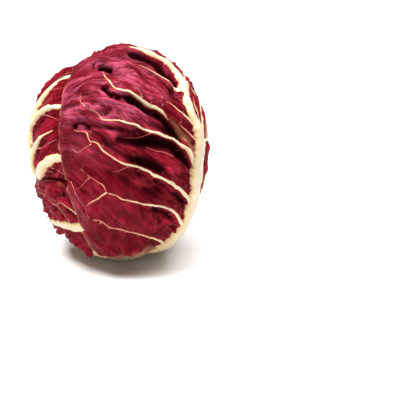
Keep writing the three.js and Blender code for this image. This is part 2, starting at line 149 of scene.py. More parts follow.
# Pressed into every layer
folds = [
    formAlong(4.5, 12, [182, 13], [166, 20], [150, 27]),
    formAlong(4.5, 8, [-29, 46], [-27, 33], [-39, 22], [-54, 14]),
    formAlong(2.2, 7, [-97, 40], [-84, 45], [-69, 48], [-55, 58], [-47, 70]),
    formAlong(1.8, 7, [-95, 62], [-76, 67], [-57, 78], [-45, 92]),
    formAlong(3, 9, [152, 140], [150, 100], [140, 60]),
    formAlong(2.5, 9, [70, 130], [76, 90], [88, 50]),
    formAlong(
        5, 2.6,
        [-16, 10], [-13, 15], [-11.5, 22], [-12, 29], [-14, 35], [-16.6, 40.5], [-18.6, 44],
        edge=2.4,
    ),
    formAlong(5.5, 1.9, [-110, 24.5], [-104, 23.5], [-97, 24]),
    formAlong(
        3, 1.3,
        [-102, 37], [-97.6, 38.5], [-92.3, 42.3], [-86.6, 43.1], [-80.7, 43.1], [-74.8, 44.8], [-66.2, 48.3],
        [-60, 54],
        edge=1.4,
    ),
    formAlong(4, 2.6, [-76, 45.5], [-66, 50.5], [-58, 56], [-52, 62], [-47, 69], [-42, 75]),
    formAlong(1.6, 2, [-63, 62], [-57, 66], [-49, 72]),
    formAlong(1.3, 2.4, [-93, 62.5], [-85, 63], [-76, 65.5]),
    formAlong(3.6, 3, [-86, 70], [-77, 72], [-66, 72.5], [-57, 74.5], [-50, 78.5], [-44, 84]),
    formAlong(3, 3.2, [-96, 71.5], [-88, 77], [-79, 82], [-70, 86], [-60, 91]),
    formAlong(2.6, 3.6, [-92, 90], [-83, 96], [-74, 103], [-62, 106]),
    formAlong(2.2, 1.6, [-132, 45], [-127.3, 43.6], [-121.7, 42]),
    formAlong(3, 2, [-118, 64], [-115, 61.5], [-111, 61.6], [-107, 64]),
    formAlong(2, 1.4, [-99.5, 54.8], [-96, 54.7], [-93, 52.7]),
    formAlong(2.8, 1.2, [-122, 23.3], [-120, 25.5], [-118.5, 26.5]),
    formAlong(1.6, 1.3, [-87.6, 36.8], [-83, 36], [-76.6, 37.8], [-70.8, 38.6]),
    formAlong(1.4, 3.5, [-42, 86], [-36, 92], [-32, 100]),
    formAlong(3, 1.5, [-142, 105.7], [-135, 103.4], [-129, 101.8], [-123, 101]),
    formAlong(2.5, 1.5, [-127.5, 109.7], [-125.3, 111.3], [-122, 114.5]),
    formAlong(2.5, 2, [-132, 139.3], [-129.6, 142.2], [-130, 150]),
]

# Standing proud of the front leaf
swells = [
    formAlong(2, 3.6, [-97, 46], [-84, 48], [-72, 52], [-61, 57], [-54, 64]),
    formAlong(1.2, 3.2, [-123, 48], [-112, 53], [-104, 58]),
    formAlong(2.6, 1.5, [-102, 62], [-93, 65], [-88, 70], [-81, 75], [-71, 81], [-62, 87], [-55, 92], edge=1.2),
    formAlong(1.1, 3, [-118, 40], [-114, 33], [-110, 27]),
    formAlong(1, 1, [-110, 51], [-106, 45], [-103.8, 37.6], [-98, 34.5], edge=1.3),
    formAlong(1.2, 3, [-90, 22], [-70, 22], [-50, 32], [-38, 42]),
    formAlong(1.1, 1.8, [-80, 30], [-62, 38], [-50, 50]),
    formAlong(0.5, 2.5, [-98, 84], [-104, 88], [-110, 96], [-114, 104]),
    formAlong(1.2, 1.3, [-118, 57], [-112, 67], [-106, 65]),
    formAlong(0.8, 0.9, [-104, 40], [-96, 41.5], [-90, 40.5], [-82, 41]),
    formAlong(1.5, 2, [-21, 50], [-22, 42], [-25, 36], [-29.5, 30.5], [-37, 26], [-48, 21]),
]


def eggRadius(spots):
    rise = np.where(spots[:, 2] > 0, head["crownRise"], head["baseDrop"])
    egg = 1 / np.sqrt((spots[:, 0] ** 2 + spots[:, 1] ** 2) / headRadius**2 + (spots[:, 2] / rise) ** 2)
    floor = (head["widestLevel"] - head["floorClearance"]) / np.maximum(-spots[:, 2], 1e-3)
    sharp = head["floorSharpness"]
    return egg / (1 + (egg / floor) ** sharp) ** (1 / sharp)


def pressed(spots, forms, key="size"):
    total = np.zeros(len(spots))
    for form in forms:
        gap = nearest(spots, form["points"])[0]
        total += form[key] * np.exp(-((gap / form["reach"]) ** form["edge"]))
    return total


# Leaves, from the innermost outwards. midrib, minus and plus draw the blade and are the solids' own;
# minus and plus are the margins of lower and higher azimuth. Where a leaf has a ribLine, its midrib is
# raised along that instead. An area is a place, its reach in millimetres and its share.

def wrapperOutline(azimuth, minusSpread, plusSpread, lean, tipPolar):
    def margin(side, spread):
        return [
            [azimuth + side * 26, 166],
            [azimuth + side * 42 * spread, 150],
            [azimuth + side * 62 * spread, 130],
            [azimuth + side * 78 * spread, 105],
            [azimuth + side * 85 * spread, 78],
            [azimuth + lean * 0.5 + side * 92 * spread, 52],
            [azimuth + lean + side * 118 * spread, 27],
        ]

    shares = [0, 0.1, 0.4, 0.8, 1, 1]
    polars = [166, 125, 85, 50, 22, tipPolar]
    midrib = [[azimuth + lean * share, polar] for share, polar in zip(shares, polars)]
    return {"midrib": midrib, "minus": margin(-1, minusSpread), "plus": margin(1, plusSpread)}


def rib(widths, *places):
    return {"places": places, "widths": widths}


def usualSideRibs(side, count, reach):
    # side ribs that leave the midrib one above another, each with two forks
    ribs = []

    def add(along, across, widths):
        ribs.append({"side": side, "shares": np.stack([along, across], axis=-1), "widths": width * np.array(widths)})

    for i in range(count):
        start = 0.16 + 0.62 * i / count + (0.04 if side > 0 else 0) + 0.01 * math.sin(7.1 * i + 2 * side)
        climb = 0.24 - 0.1 * i / count + 0.02 * math.sin(5.3 * i + side)
        width = 3.8 - 1.8 * i / count

        def rise(out):
            return start + climb * out**1.3 + 0.012 * np.sin(9 * out + i) + 0.005 * np.sin(21 * out + 3 * i)

        out = np.linspace(0, 1, 7)
        add(rise(out), reach * out, [1, 0.66, 0.5, 0.36, 0.22, 0.1])
        for fork, leave in enumerate((0.3, 0.58)):
            t = np.linspace(0, 1, 5)
            turn = 1 if (i + fork) % 2 else -1
            along = rise(leave) + (0.55 * climb + turn * 0.05) * t * 0.5 + turn * 0.012 * np.sin(3 * t)
            across = reach * (leave + (0.34 - 0.08 * fork) * t)
            add(along, across, [0.3, 0.24, 0.16, 0.08])
    return ribs


leaves = [
    {
        "name": "inner_left_leaf",
        **wrapperOutline(140, 0.85, 0.9, -14, -6),
        "spacing": 2.2,
        "ribs": [],
        "slot": "inner_blade",
        "wrinkle": 0.3,
    },
    {
        "name": "inner_right_leaf",
        **wrapperOutline(10, 0.8, 0.8, 16, 2),
        "spacing": 2.2,
        "ribs": [],
        "slot": "inner_blade",
        "wrinkle": 0.3,
    },
    {
        "name": "left_leaf",
        "midrib": [
            [-150, 166], [-147, 135], [-149, 110], [-156, 92], [-158, 72], [-158, 55], [-154, 42], [-140, 32],
            [-112, 20],
        ],
        "minus": [
            [-176, 166], [-195, 148], [-215, 125], [-228, 100], [-235, 75], [-238, 50], [-232, 30], [-215, 20],
        ],
        "plus": [[-124, 166], [-110, 148], [-96, 125], [-86, 100], [-80, 75], [-76, 50], [-74, 30], [-70, 18]],
        "spacing": 0.85,
        "ribLine": [
            [-150, 166], [-149, 135], [-156, 112], [-162, 98], [-165, 85], [-166, 75], [-165, 66], [-164, 58],
            [-163, 51], [-161, 43], [-155, 36.5], [-146, 31.5], [-132, 27],
        ],
        "ribs": [
            rib(
                [3.5, 3.8, 3.8, 3.6, 3.4, 3, 2.2, 1],
                [-167, 88], [-166, 79], [-160.5, 70.5], [-154.9, 64.6], [-148.9, 60.3], [-142.6, 57],
                [-138, 54.3], [-120, 48],
            ),
            rib(
                [9, 9, 9, 8, 7, 5.5, 3.4, 1.6, 0.6],
                [-155, 128], [-159, 118], [-160, 111], [-160.5, 103.4], [-156.9, 94.5], [-152.8, 87.7],
                [-147.3, 80.3], [-143.4, 75.4], [-139.5, 72], [-136, 69],
            ),
            rib(
                [5, 5.5, 5.8, 6, 6, 5.5, 4, 2],
                [-156, 116], [-155, 107.8], [-147.7, 100.3], [-144.6, 96.8], [-140.5, 92.5], [-135.8, 88.7],
                [-130.7, 86.1], [-112, 84],
            ),
            *usualSideRibs(-1, 5, 0.8),
        ],
        "twigs": [
            [[-150, 63], [-147.9, 62.5], [-140.1, 61.7], [-134, 62.5]],
            [[-148, 84], [-144.1, 82.6], [-139.4, 79.5], [-132, 74]],
            [[-168, 62], [-163.9, 60.8], [-152.2, 54.7], [-148, 50]],
            [[-166, 50], [-155.6, 46.8], [-146, 43]],
            [[-141, 97], [-133, 99], [-127, 103]],
            [[-138, 93], [-130, 95], [-123, 97]],
        ],
        "midribWidth": [21, 16, 12, 9, 7.5, 7.2, 7.2, 7.5, 7.5, 7.2, 6.6, 5.5, 4],
        "proudRibs": 1.9,
        "slot": "wrapper_blade",
        "wrinkle": 0.75,
    },
    {
        "name": "back_leaf",
        **wrapperOutline(105, 0.98, 1.0, 12, -24),
        "plus": [
            [131, 166], [147, 150], [167, 130], [181, 105], [185, 78], [187, 60], [190, 50], [196, 40],
            [207, 31],
        ],
        "spacing": 0.9,
        "midribWidth": [20, 12, 8, 4.5, 2, 0.8],
        "ribs": [*usualSideRibs(-1, 5, 0.85), *usualSideRibs(1, 5, 0.85)],
        "slot": "wrapper_blade",
        "wrinkle": 0.9,
    },
    {
        "name": "low_right_leaf",
        "midrib": [[48, 166], [50, 148], [56, 130], [60, 112], [58, 96]],
        "minus": [[30, 166], [22, 150], [20, 132], [28, 112], [40, 98]],
        "plus": [[66, 166], [82, 150], [94, 132], [92, 112], [78, 96]],
        "spacing": 0.7,
        "ruffle": {"height": 2, "waves": 7, "inset": 0.45, "scallop": 0.04},
        "pillows": [{"count": 60, "height": 1.6, "reach": 6}],
        "ribs": [*usualSideRibs(-1, 3, 0.7), *usualSideRibs(1, 3, 0.7)],
        "slot": "wrapper_blade",
        "wrinkle": 0.9,
    },
    {
        "name": "low_left_leaf",
        "midrib": [[-110, 166], [-112, 148], [-120, 136], [-134, 131], [-152, 130], [-172, 124], [-190, 114]],
        "minus": [[-124, 166], [-130, 158], [-142, 152], [-158, 148], [-174, 144], [-190, 136], [-200, 126]],
        "plus": [[-98, 166], [-99, 146], [-108, 122], [-122, 105], [-142, 104], [-160, 109], [-182, 113]],
        "spacing": 0.6,
        "ruffle": {"height": 1.7, "waves": 10, "inset": 0.35, "scallop": 0.05},
        "pillows": [{"count": 110, "height": 4.4, "reach": 6.2}, {"count": 300, "height": 0.6, "reach": 3.2}],
        "ribLine": [
            [-110, 166], [-110, 152], [-112, 140], [-117, 132.5], [-121.8, 131.8], [-131.5, 132.4],
            [-137.9, 133.2], [-146.6, 134.6], [-161, 137], [-174, 136], [-186, 130],
        ],
        "ribs": [
            rib(
                [1, 0.9, 0.7, 0.5, 0.3],
                [-117, 124], [-121, 120.4], [-123.3, 118.3], [-128, 114.3], [-134.6, 117.6], [-141.8, 121.4],
            ),
            rib([0.6, 0.5, 0.4], [-124, 132], [-134, 123], [-146, 116], [-156, 112]),
            rib([0.6, 0.5, 0.4], [-150, 132], [-160, 122], [-170, 114]),
        ],
        "twigs": [
            [[-128, 114.3], [-129.9, 112.1], [-127.7, 108.5]],
            [[-126, 130], [-133, 120], [-134, 112]],
            [[-140, 120], [-148, 110], [-156, 108]],
            [[-140, 133], [-146, 142], [-156, 144]],
        ],
        "midribWidth": [13, 9, 7.5, 6.5, 5, 4, 2.2],
        # painted highlight: a pale mauve sheen painted into the colour here, standing in for light
        "paintedSheen": [([-150, 104], 14, 0.3)],
        "slot": "wrapper_blade",
        "wrinkle": 0.9,
    },
    {
        "name": "front_leaf",
        "midrib": [
            [-27, 166], [-28, 130], [-28, 100], [-27, 78], [-27, 62], [-21, 45], [-10, 30], [-14, 12],
            [-12, -8], [-10, -27],
        ],
        "minus": [
            [-53, 166], [-85, 158], [-112, 150], [-117, 134], [-119, 115], [-124, 95], [-129, 74], [-136, 51],
            [-146, 32], [-168, 20],
        ],
        "plus": [[-1, 166], [11, 150], [24, 130], [33, 105], [37, 80], [42, 55], [54, 35], [84, 22]],
        "spacing": 0.68,
        # the rib stands up to 9 mm beside the blade's middle line
        "ribLine": [
            [-27, 166], [-28, 130], [-28, 100], [-25.5, 84], [-24.6, 76], [-25.2, 69], [-25.8, 62], [-23.5, 56.5], [-18.2, 51.5],
            [-11.8, 46.5], [-5.8, 41.5], [-0.8, 36.5], [1.4, 32], [2.4, 27], [3, 20.5], [6, 14], [22, 8], [60, 6], [110, 11],
        ],
        "ribs": [
            rib(
                [0.3, 1.1, 1.4, 1.4, 1.4, 1.3, 1.1, 1, 0.7, 0.45],
                [-48, 61.5], [-50.7, 57.6], [-57.2, 52.2], [-60.5, 49.8], [-66, 45.6], [-72.6, 42.1],
                [-77, 40.5], [-81.7, 39.7], [-87, 38.2], [-90.9, 35.9], [-94.6, 33.3], [-99.7, 30.3],
                [-103.3, 27.9], [-109, 25],
            ),
            rib(
                [3.2, 2.6, 2.3, 1.8, 1.4, 1.2, 0.8, 0.45],
                [-27, 106], [-36, 86], [-43.1, 78.6], [-48.3, 73.6], [-55.9, 70], [-61.2, 67.8], [-69, 64.4],
                [-77.6, 60.6], [-86.8, 58.4], [-94.2, 58.1], [-97.7, 57.6], [-99.3, 55.9], [-101.4, 54.1],
                [-107.6, 52.5], [-111.2, 51.3],
            ),
            rib(
                [3, 2.3, 1.9, 1.6, 1.3, 0.9, 0.8, 0.45],
                [-27, 124], [-39, 113], [-53, 101], [-58.9, 96.9], [-64.4, 94.5], [-67.9, 91.4], [-76.4, 86.9],
                [-81, 85.6], [-85.3, 83.6], [-89.6, 81], [-93.1, 78.5], [-96.8, 76], [-99.6, 72.6],
                [-101.6, 71.7], [-104.3, 71.7], [-106.1, 69.1], [-107.1, 66.9], [-109.3, 66], [-114.8, 66.3],
                [-118, 65.9],
            ),
            rib(
                [3, 2, 1.5, 1.3, 1, 0.75, 0.55, 0.35],
                [-28, 138], [-50, 120], [-64, 115], [-73, 112], [-81.4, 109.5], [-88.5, 104.8], [-91.4, 104],
                [-94.3, 102.4], [-96.7, 98.5], [-100.4, 96], [-104.6, 93.7], [-107.2, 91.9], [-111, 88.5],
            ),
            rib([0.9, 0.75, 0.6], [-94.6, 102.8], [-99.2, 106.5], [-103.4, 109.7], [-109.4, 113.4]),
            rib(
                [2.2, 1.3, 0.9, 0.8, 0.7, 0.45],
                [-31, 152], [-55, 142], [-75, 134], [-87, 131], [-93.1, 128.7], [-97.7, 124.8], [-99.5, 123.1],
                [-104.9, 121.7], [-108.4, 122.5],
            ),
            rib(
                [0.6, 1, 1.3, 1.2, 0.9, 0.7, 0.4],
                [-24, 66], [-22, 57], [-21, 51.5], [-20, 47], [-21.5, 41.5], [-24.5, 36], [-29, 30.5],
                [-36, 26], [-47, 22], [-58, 17],
            ),
            rib(
                [1.6, 1.5, 1.2, 0.9, 0.6, 0.35],
                [-26, 74], [-31, 65.8], [-35.2, 60.9], [-39.7, 55.9], [-44.4, 51.8], [-49.7, 48.4],
            ),
            rib([1.6, 1.4, 1, 0.7, 0.3], [-26, 90], [-28.6, 80.1], [-32.3, 75.8], [-36.7, 70.8], [-41.2, 65.2]),
            rib(
                [2.4, 2.2, 1.8, 1.3, 0.8, 0.5],
                [-22, 84], [-16.9, 73], [-11, 66.5], [-3, 62.5], [7, 59], [16, 52],
            ),
            rib([1.2, 1, 0.8, 0.6, 0.4], [-21, 74], [-17, 63.9], [-12, 57], [-5, 51.5], [4, 45], [12, 37]),
            *usualSideRibs(1, 3, 0.8),
        ],
        "twigs": [
            [[-65, 45], [-66, 42], [-71, 38], [-77, 34]],
            [[-82, 59], [-83, 57], [-85, 54]],
            [[-62, 67], [-71, 69], [-80, 69], [-85, 68]],
            [[-50, 85], [-56, 81], [-62, 79], [-68, 76]],
            [[-81, 86], [-86, 89], [-91, 91]],
            [[-104, 73], [-110, 77], [-113, 79], [-116, 78], [-119, 77]],
            [[-111, 51], [-116, 49], [-118, 46], [-121, 42]],
            [[-104.6, 93.7], [-108.4, 97.6], [-110.7, 100.4], [-113, 102], [-115.6, 103.1]],
            [
                [-118.3, 98.7], [-115.8, 102.9], [-113.5, 108.1], [-109.3, 113.8], [-108.1, 118.4],
                [-106.9, 121.9],
            ],
            [[-99.6, 123.6], [-101.7, 125], [-103.1, 126.2]],
        ],
        "midribWidth": [22, 18, 15.5, 14, 13.5, 13.5, 13, 13, 12.5, 12, 10.8, 9, 7.3, 6.6, 6.3, 6, 5.7, 5, 4, 2.8, 1.2],
        # painted shade: places along the shaded strip beside the midrib's foot
        "tan": [[-47, 61], [-44, 65], [-42, 68.4], [-38.5, 74.6], [-35.5, 80.5], [-33, 87]],
        "slot": "wrapper_blade",
        "wrinkle": 1.0,
        "grooveUnderRibs": 1.0,
        # painted highlight: a pale mauve sheen painted into the colour where light falls, on the upper left and over
        # bulges
        "paintedSheen": [
            ([-118, 50], 24, 0.9),
            ([-70, 26], 26, 0.6),
            ([-72, 52], 9, 0.7),
            ([-117, 116], 9, 0.4),
        ],
        "shaded": [([-68, 79], 12, 0.45), ([-50, 125], 20, 0.3)],
        "calm": [([-100, 112], 36, 1), ([-138, 46], 9, 0.7)],
    },
]


def leafPlace(leaf, share, side):
    edge = np.where((side < 0)[..., None], leaf["minusRun"].at(share), leaf["plusRun"].at(share))
    return between(leaf["midribRun"].at(share), edge, np.abs(side))


def flatMap(spots):
    polar = np.arccos(np.clip(spots[..., 2], -1, 1))
    azimuth = np.arctan2(spots[..., 1], spots[..., 0])
    return np.stack([polar * np.cos(azimuth), polar * np.sin(azimuth)], axis=-1)


for leaf in leaves:
    for key in ("midrib", "minus", "plus"):
        leaf[key + "Run"] = lineThrough(leaf[key])
    steps = np.arange(21) / 20
    rim = np.vstack([
        leafPlace(leaf, steps, np.full(21, -1.0)),
        leafPlace(leaf, np.ones(20), -1 + 2 * steps[1:]),
        leafPlace(leaf, steps[19::-1], np.ones(20)),
        leafPlace(leaf, np.zeros(3), np.array([0.5, 0, -0.5])),
    ])
    leaf["rim"] = rim
    ahead = np.roll(rim, -1, axis=0)
    leaf["rimPoints"] = np.concatenate([rim + (ahead - rim) * k / 8 for k in range(8)])


def depthInside(leaf, spots):
    # millimetres inside the leaf's rim, negative outside
    gap = nearest(spots, leaf["rimPoints"])[0]
    x, y = flatMap(spots).T
    corners = flatMap(leaf["rim"])
    inside = np.zeros(len(spots), bool)
    for (xi, yi), (xj, yj) in zip(corners, np.roll(corners, 1, axis=0)):
        crosses = (yi > y) != (yj > y)
        inside ^= crosses & (x < (xj - xi) * (y - yi) / (yj - yi + 1e-12) + xi)
    return np.where(inside, gap, -gap)


def layersAt(spots):
    return np.stack([depthInside(leaf, spots) for leaf in leaves])


def innerRadius(spots, depths):
    level = smoothStep(depths, -head["levelRun"], head["levelRun"]).sum(axis=0)
    return eggRadius(spots) - pressed(spots, folds) - head["layerRise"] * level


def seatRadius(index, spots, depths):
    lift = smoothStep(depths[:index], -head["liftRun"], 0).sum(axis=0)
    return innerRadius(spots, depths) + head["layerRise"] * lift


def coverAt(index, depths, run):
    over = smoothStep(depths[index + 1 :], -run, 0)
    return over.max(axis=0) if len(over) else np.zeros(depths.shape[1])


# Ribs as strands: wandering lines with a width at each point

ribHabit = {
    "step": 0.6,
    "wander": 0.4,  # sideways, over wanderRun
    "wanderRun": 5,
    "widthNoise": 0.28,
    "flare": 0.5,  # how much wider a side rib is where it leaves the midrib
    "flareRun": 4,
}


def makeStrand(path, widths, seed, kind, wander=1.0):
    count = max(int(path.length / ribHabit["step"]), 8)
    share = np.linspace(0, 1, count)
    points = path.at(share)
    ahead = unit(np.gradient(points, axis=0))
    across = np.cross(ahead, points)
    along = share * path.length
    line = np.stack([along / ribHabit["wanderRun"], np.full(count, seed * 7.3), np.zeros(count)], axis=-1)
    sway = softNoise(line, seed) + 0.4 * softNoise(line * 2.7, seed + 5)
    shift = ribHabit["wander"] * wander * sway * smoothStep(along, 0, 8)
    points = unit(points + across * (shift / headRadius)[:, None])
    width = np.interp(share, np.linspace(0, 1, len(widths)), widths)
    uneven = softNoise(line * 1.9, seed + 9) + 0.5 * softNoise(line * 6, seed + 10)
    width = width * (1 + ribHabit["widthNoise"] * uneven)
    if kind != "midrib":
        width = width * (1 + ribHabit["flare"] * np.exp(-along / ribHabit["flareRun"]))
    return {"points": points, "along": along, "share": share, "width": width, "kind": kind, "seed": seed}


def strandsOf(leaf, leafNumber):
    strands = []
    if not leaf["ribs"]:
        return strands
    whole = lineThrough(leaf.get("ribLine", leaf["midrib"]))
    middle = Line(whole.at(np.linspace(0.01, 0.93, 200)))  # short of the stem and the tip
    strands.append(makeStrand(middle, leaf.get("midribWidth", [21, 13, 7.5, 2]), leafNumber * 40, "midrib", 0.5))
    for number, rib in enumerate(leaf["ribs"]):
        if "places" in rib:
            path = lineThrough(rib["places"])
        else:
            spots = leafPlace(leaf, rib["shares"][:, 0], rib["side"] * rib["shares"][:, 1])
            path = lineThrough(placesOf(spots))
        strands.append(makeStrand(path, rib["widths"], leafNumber * 40 + number + 1, "side"))
    for number, places in enumerate(leaf.get("twigs", [])):
        path = lineThrough(places)
        strands.append(makeStrand(path, [0.55, 0.45, 0.36, 0.24], leafNumber * 40 + number + 21, "twig", 0.6))
    for strand in [strand for strand in strands if strand["kind"] == "side"]:
        strands += hairsOf(strand)
    return strands


hairHabit = {"spacing": 4.2, "length": 6, "width": 0.3, "lean": 52}


def hairsOf(strand):
    # the finest veins, leaving a side rib to both sides by turns
    hairs = []
    steps = int(strand["along"][-1] / hairHabit["spacing"])
    for k in range(1, steps):
        pick = softNoise(np.array([[k * 0.73, strand["seed"] * 1.37, 0.5], [k * 0.61, strand["seed"] * 2.1, 4.5]]), 31)
        at = int(len(strand["points"]) * (k + 0.7 * pick[0]) / steps)
        if not 2 < at < len(strand["points"]) - 2:
            continue
        root = strand["points"][at]
        ahead = unit(strand["points"][at + 1] - strand["points"][at - 1])
        aside = np.cross(ahead, root) * (1 if k % 2 else -1)
        lean = math.radians(hairHabit["lean"] + 22 * pick[1])
        heading = ahead * math.cos(lean) + aside * math.sin(lean)
        reach = hairHabit["length"] * (0.6 + 0.5 * abs(pick[0] + pick[1])) / headRadius
        t = np.linspace(0, 1, 9)[:, None]
        bend = 0.25 * (ahead * math.sin(k) - aside * 0.2)
        path = Line(unit(root + reach * (heading * t + bend * t**2)))
        hairs.append(makeStrand(path, np.array([1, 0.7, 0.3]) * hairHabit["width"], strand["seed"] * 50 + k, "hair", 0.7))
    return hairs


def placesOf(spots):
    polar = np.degrees(np.arccos(np.clip(spots[:, 2], -1, 1)))
    azimuth = np.degrees(np.unwrap(np.arctan2(spots[:, 1], spots[:, 0])))
    return np.stack([azimuth, polar], axis=-1)


# Blades

grainSlope = 0.95  # how far the grain runs back along the leaf, for each millimetre out to the side
innerStep = 3  # a blade's inner sheet has every third row and column of its outer one
hugRim = {"depth": 1.5, "reach": 3}  # a rim lies closer to the leaf below than the rest of its blade


def angleBetween(first, second):
    return np.arccos(np.clip((first * second).sum(axis=1), -1, 1))


def makeGrid(leaf):
    spacing = leaf["spacing"] / detail
    rows = int(leaf["midribRun"].length / spacing / innerStep) * innerStep
    levels = np.array([0.35, 0.5, 0.65])
    middle = leaf["midribRun"].at(levels)
    sides = []
    for edge in (leaf["minusRun"], leaf["plusRun"]):
        reach = angleBetween(middle, edge.at(levels)).max()
        sides.append(max(int(reach * headRadius / spacing / innerStep), 2) * innerStep)
    side = np.concatenate([np.linspace(-1, 0, sides[0], endpoint=False), np.linspace(0, 1, sides[1] + 1)])
    share = np.linspace(0, 1, rows + 1)
    return np.meshgrid(share, side, indexing="ij")


def halfWidth(leaf, share, side):
    # millimetres from the midrib to the rim on that side
    middle = leaf["midribRun"].at(share[:, 0])
    minus, plus = (angleBetween(middle, leaf[key].at(share[:, 0])) for key in ("minusRun", "plusRun"))
    return np.where(side < 0, minus[:, None], plus[:, None]) * headRadius


def wavyRim(share, side, seed):
    # the drawn rim, broken by small irregular waves
    line = np.stack([share * 22, np.sign(side) * 3.1, np.full(share.shape, seed * 1.7)], axis=-1)
    return 0.016 * softNoise(line, seed) + 0.006 * softNoise(line * 3.1, seed + 3)


reliefForm = {
    "ridge": {"midrib": 0.4, "side": 0.3, "twig": 0.25, "hair": 0.0},  # under a rib, of its half width
    "tent": 0.9,  # the blade hangs from its ribs: gently above them, steeply below
    "tentAbove": 5.5,
    "tentBelow": 1.8,
    "grooveBelow": 3.2,
    "grooveReach": 2.0,
    "streak": 1.2,
    "crease": 1.1,
    "crumple": 1.5,
    "dimple": 0.35,
    "swag": 0.9,
}


def ribRelief(leaf, spots, openness):
    # what the ribs do to their blade, and how near each spot is to one
    ridge, tent, groove, bleed = (np.zeros(len(spots)) for k in range(4))
    for strand in leaf["strands"]:
        if strand["kind"] == "hair":
            continue
        gap, which = nearest(spots, strand["points"])
        half = strand["width"][which] / 2
        above = (spots - strand["points"][which])[:, 2] > 0
        body = 1 - smoothStep(strand["share"][which], 0.88, 1)
        height = reliefForm["ridge"][strand["kind"]] * np.minimum(half, 3) * body
        ridge = np.maximum(ridge, height * np.exp(-((gap / (half + 0.7)) ** 2)))
        if strand["kind"] == "side":
            strength = body * np.minimum(half, 1)
            reach = np.where(above, reliefForm["tentAbove"], reliefForm["tentBelow"] + half)
            tent = np.maximum(tent, strength * np.exp(-((gap / reach) ** 2)))
            offset = (gap - half - reliefForm["grooveBelow"]) / reliefForm["grooveReach"]
            dip = np.exp(-(offset**2)) * ~above
            groove = np.maximum(groove, dip * strength * smoothStep(strand["along"][which], 3, 12))
        ragged = (1 + 0.8 * softNoise(spots * 34, strand["seed"])).clip(0.3)
        spread = (0.2 if strand["kind"] == "twig" else 0.4) * ragged
        bleed = np.maximum(bleed, body * (1 - smoothStep(gap - half, -0.3, 2.6 * spread)))
    return (ridge + reliefForm["tent"] * tent) * openness, groove * openness, bleed


def sharpHills(noise):
    return 2 * np.abs(noise) - 0.6


def sharpCrests(noise):
    return 1 - 2.2 * np.abs(noise)


def areaMask(leaf, key, spots):
    total = np.zeros(len(spots))
    for place, reach, share in leaf.get(key, []):
        gap = np.linalg.norm(spots - directionTo([place])[0], axis=1) * headRadius
        total += share * np.exp(-((gap / reach) ** 2))
    return total


def midribFootShadeStrip(leaf, spots):
    # painted shade: the flat strip beside the midrib's foot, cream that lies in shadow, painted darker brown; it
    # narrows upwards
    if "tan" not in leaf:
        return np.zeros(len(spots))
    steps = 60
    gap, which = nearest(spots, lineThrough(leaf["tan"]).at(np.linspace(0, 1, steps)))
    last = steps - 1
    return np.exp(-((gap / (0.5 + 2.2 * which / last)) ** 4)) * (0.35 + 0.65 * which / last)


def calmness(leaf, spots):
    return np.clip(areaMask(leaf, "calm", spots), 0, 1)


def pillowsOn(leaf, spots, form, seed):
    # rounded swellings side by side with sharp creases between them, 0 to 1
    dice = np.random.default_rng(seed)
    tops = leafPlace(leaf, dice.uniform(0.02, 1.05, form["count"]), dice.uniform(-1.05, 1.05, form["count"]))
    wide = dice.uniform(0.75, 1.25, form["count"])
    gap, which = nearest(spots, tops)
    return np.clip(1 - (gap / form["reach"] / wide[which]) ** 2, 0, 1)


def bladeTexture(leaf, spots, grain, seed):
    u, v = grain[:, 0], grain[:, 1]
    lift = grain[:, 2]
    warp = softNoise(np.stack([u / 20, v / 16, lift], axis=-1), seed + 4)

    def run(acrossLength, alongLength, number):
        return softNoise(np.stack([u / acrossLength + warp, v / alongLength + 1.6 * warp, lift], axis=-1), seed + number)

    patch = (0.75 + 0.7 * softNoise(spots * 3.2, seed + 8)).clip(0.25, 1.5)
    streaks = reliefForm["streak"] * run(17, 4.4, 0) + reliefForm["crease"] * sharpCrests(run(13, 2.7, 1)) * patch
    crumpled = reliefForm["crumple"] * sharpHills(run(13, 8, 5)) + reliefForm["dimple"] * sharpHills(run(5.5, 3.6, 6))
    swags = reliefForm["swag"] * softNoise(spots * 3.4 + 7, seed + 3)
    for number, form in enumerate(leaf.get("pillows", [])):
        full = pillowsOn(leaf, spots + 0.03 * warp[:, None], form, seed + number)
        swags += form["height"] * (np.maximum(full, 0.28) - 0.6)  # no crease reaches the leaf below
    crown = smoothStep(spots[:, 2], math.cos(math.radians(32)), math.cos(math.radians(12)))
    folded = np.clip(pressed(spots, folds) / 4.5, 0, 1)
    calm = (1 - 0.65 * calmness(leaf, spots)) * (1 - 0.7 * crown) * (1 - 0.6 * folded)
    return leaf["wrinkle"] * (streaks + crumpled * patch) * calm + swags * leaf["wrinkle"]


